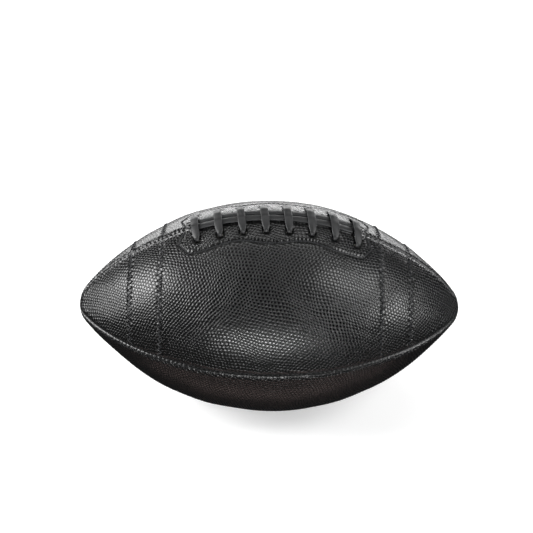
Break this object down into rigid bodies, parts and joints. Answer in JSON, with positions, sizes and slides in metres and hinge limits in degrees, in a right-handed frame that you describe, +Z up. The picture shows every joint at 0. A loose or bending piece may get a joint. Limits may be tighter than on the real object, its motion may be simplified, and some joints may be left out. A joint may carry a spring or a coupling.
{
  "type": "american football",
  "caption": "Prolate leather game ball with sewn panels, tonal end stripes and a flat lace along the top seam, over linings, a bladder and an inflation valve.",
  "frame": {"origin": "under the middle of the ball, at the height of its lowest points beside the bottom seam", "axes": "+X along the ball's long axis to the right tip, +Z up through the laced seam, -Y the side that faces the viewer"},
  "size_m": [0.28, 0.1544, 0.1614],
  "materials": {
    "leather": "black pebbled, waxed sheen",
    "stripe_leather": "black pebbled, same as the panels",
    "lining_cloth": "coated woven cloth",
    "facing_leather": "smooth split leather",
    "lace_vinyl": "matte with fine lengthwise grain",
    "stitch_thread": "waxed thread",
    "seam_thread": "waxed thread",
    "bladder_rubber": "smooth",
    "valve_rubber": "smooth"
  },
  "bodies": {
    "root": {"front_lace_panel": "leather", "back_lace_panel": "leather", "front_bottom_panel": "leather", "back_bottom_panel": "leather", "left_front_stripe": "stripe_leather", "left_back_stripe": "stripe_leather", "right_front_stripe": "stripe_leather", "right_back_stripe": "stripe_leather", "front_lace_lining": "lining_cloth", "back_lace_lining": "lining_cloth", "front_bottom_lining": "lining_cloth", "back_bottom_lining": "lining_cloth", "bladder_guard": "lining_cloth", "front_lace_facing": "facing_leather", "back_lace_facing": "facing_leather", "lace": "lace_vinyl", "left_front_stripe_inner_stitching": "stitch_thread", "left_front_stripe_outer_stitching": "stitch_thread", "left_back_stripe_inner_stitching": "stitch_thread", "left_back_stripe_outer_stitching": "stitch_thread", "right_front_stripe_inner_stitching": "stitch_thread", "right_front_stripe_outer_stitching": "stitch_thread", "right_back_stripe_inner_stitching": "stitch_thread", "right_back_stripe_outer_stitching": "stitch_thread", "front_facing_stitching": "stitch_thread", "back_facing_stitching": "stitch_thread", "front_seam_thread": "seam_thread", "bottom_seam_thread": "seam_thread", "back_seam_thread": "seam_thread", "left_top_seam_thread": "seam_thread", "right_top_seam_thread": "seam_thread", "bladder": "bladder_rubber", "valve_patch": "bladder_rubber", "valve_core": "bladder_rubber", "valve_body": "valve_rubber"}
  },
  "joints": []
}
